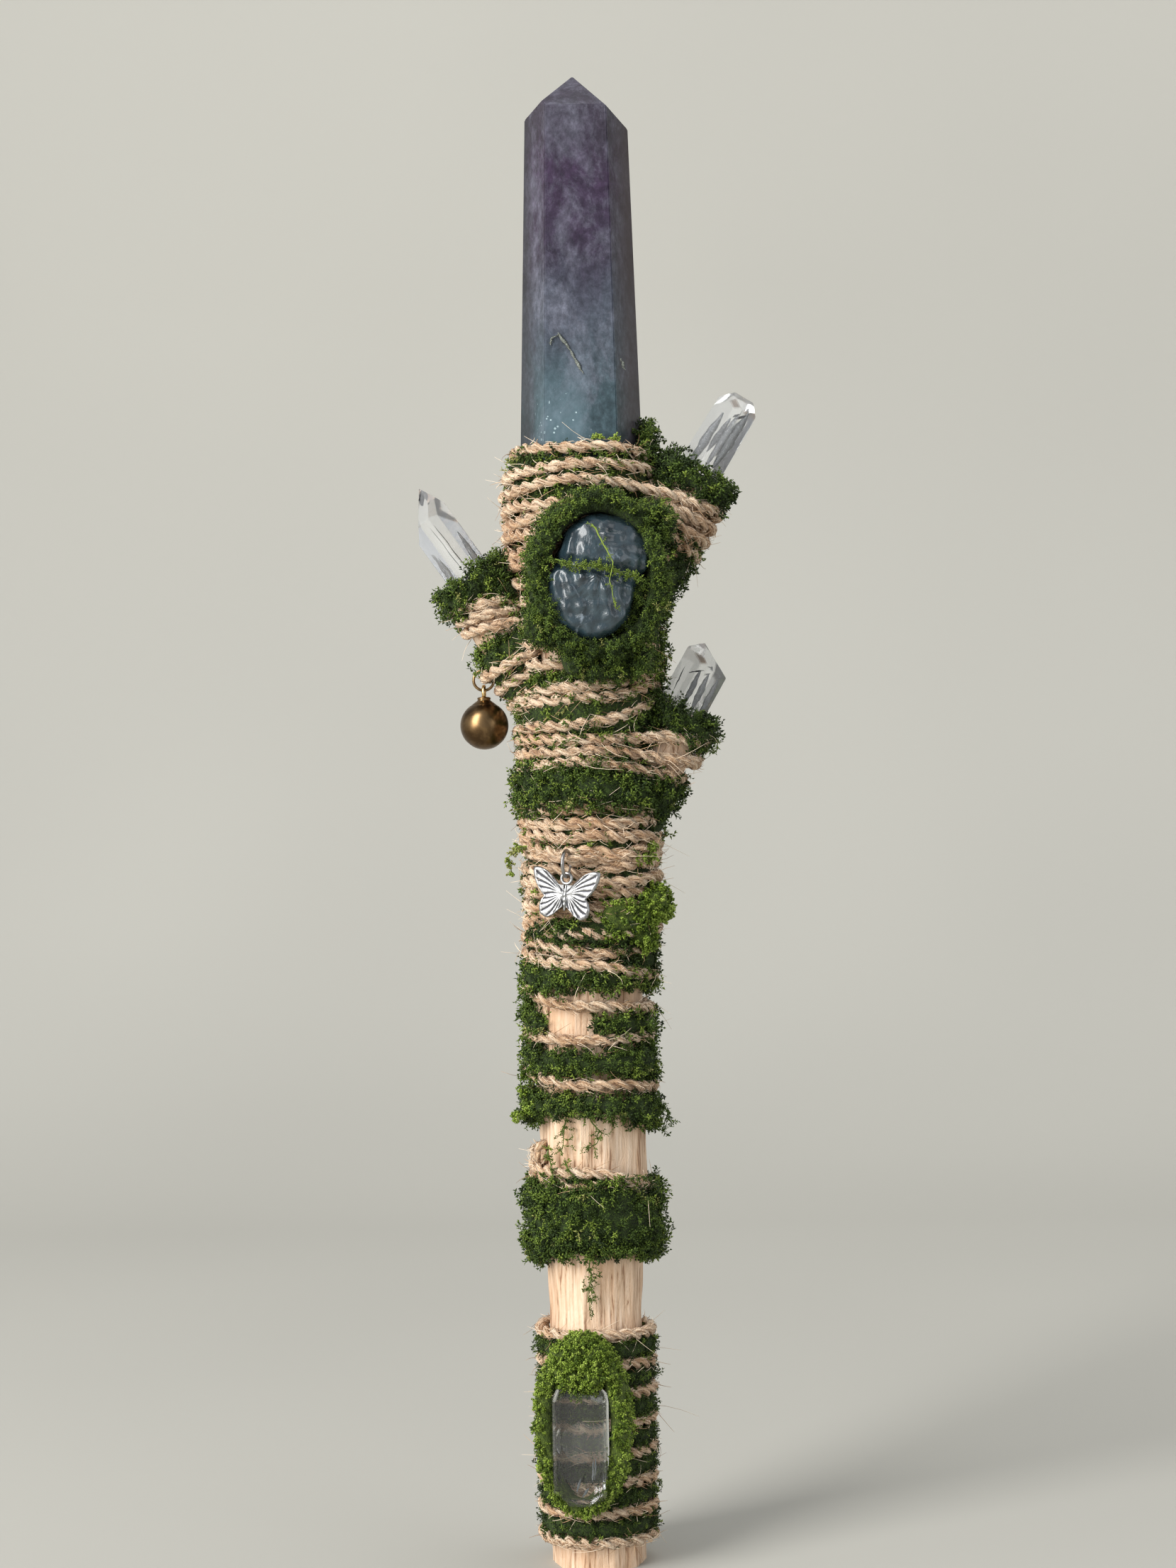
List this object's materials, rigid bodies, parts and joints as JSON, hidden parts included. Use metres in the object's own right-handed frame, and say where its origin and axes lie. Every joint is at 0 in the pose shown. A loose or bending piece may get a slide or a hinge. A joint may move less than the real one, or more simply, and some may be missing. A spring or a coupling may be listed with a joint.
{
  "type": "magic wand",
  "caption": "Hand-held wooden wand with a tower crystal tip, side stubs with quartz points, twine and moss dressing, a hanging charm and a round bell.",
  "frame": {"origin": "centre of the sawn flat face at the butt of the grip", "axes": "+Z along the stick from the butt to the tip of the tower crystal; the front, with the stone, the charm and the grip crystal, faces -Y; +X is to the right seen from the front"},
  "size_m": [0.0586, 0.0363, 0.2554],
  "materials": {
    "wood": "matte",
    "jute": "matte",
    "dark_moss": "matte",
    "light_moss": "matte",
    "fluorite": "polished",
    "quartz": "polished",
    "raw_stone": "satin",
    "glue": "satin",
    "brass": "antique satin",
    "wire": "satin",
    "silver": "bright",
    "steel": "satin"
  },
  "bodies": {
    "root": {"branch": "wood", "quartz_left": "quartz", "quartz_glue_left": "glue", "quartz_upper_right": "quartz", "quartz_glue_upper_right": "glue", "quartz_lower_right": "quartz", "quartz_glue_lower_right": "glue", "tower_crystal": "fluorite", "tower_glue": "glue", "neck_wrap": "jute", "back_wrap": "jute", "fork_wrap": "jute", "lower_wrap": "jute", "fork_moss": "dark_moss", "charm_wrap": "jute", "shaft_wrap": "jute", "moss_band_1": "dark_moss", "moss_band_2": "dark_moss", "moss_band_3": "dark_moss", "handle_wrap": "jute", "moss_band_4": "dark_moss", "tower_wrap": "jute", "moss_cap_left": "dark_moss", "stub_wrap_left": "jute", "stub_moss_left": "dark_moss", "moss_cap_upper_right": "dark_moss", "stub_wrap_upper_right": "jute", "stub_moss_upper_right": "dark_moss", "moss_cap_lower_right": "dark_moss", "stub_wrap_lower_right": "jute", "stub_moss_lower_right": "dark_moss", "shaft_turn_1": "jute", "shaft_turn_2": "jute", "shaft_turn_3": "jute", "grip_twine": "jute", "grip_moss": "dark_moss", "front_stone": "raw_stone", "stone_glue": "glue", "front_nest": "dark_moss", "grip_crystal": "quartz", "grip_glue": "glue", "grip_nest": "light_moss", "light_moss": "light_moss", "charm_strand": "jute", "bell_strand": "jute"},
    "charm_ring": {"charm_ring": "silver"},
    "butterfly": {"butterfly": "silver"},
    "bell_ring": {"bell_ring": "wire"},
    "bell": {"bell_shell": "brass", "bell_cap": "brass", "bell_loop": "brass"},
    "pellet": {"bell_pellet": "steel"}
  },
  "joints": [
    {"name": "charm_ring_swing", "type": "hinge", "parent": "root", "child": "charm_ring", "pos_m": [-0.00362, -0.01298, 0.121], "axis": [-0.9511, 0.309, 0], "range_deg": [0, 60]},
    {"name": "charm_swing", "type": "hinge", "parent": "charm_ring", "child": "butterfly", "pos_m": [-0.00362, -0.01298, 0.118], "axis": [0.309, 0.9511, 0], "range_deg": [-14, 14]},
    {"name": "bell_ring_swing", "type": "hinge", "parent": "root", "child": "bell_ring", "pos_m": [-0.01747, 0, 0.15207], "axis": [0, 1, 0], "range_deg": [0, 50]},
    {"name": "bell_swing", "type": "hinge", "parent": "bell_ring", "child": "bell", "pos_m": [-0.01747, 0, 0.14991], "axis": [1, 0, 0], "range_deg": [-35, 35]},
    {"name": "pellet_rattle", "type": "slide", "parent": "bell", "child": "pellet", "axis": [0, 0, 1], "range_m": [0, 0.0051]}
  ]
}
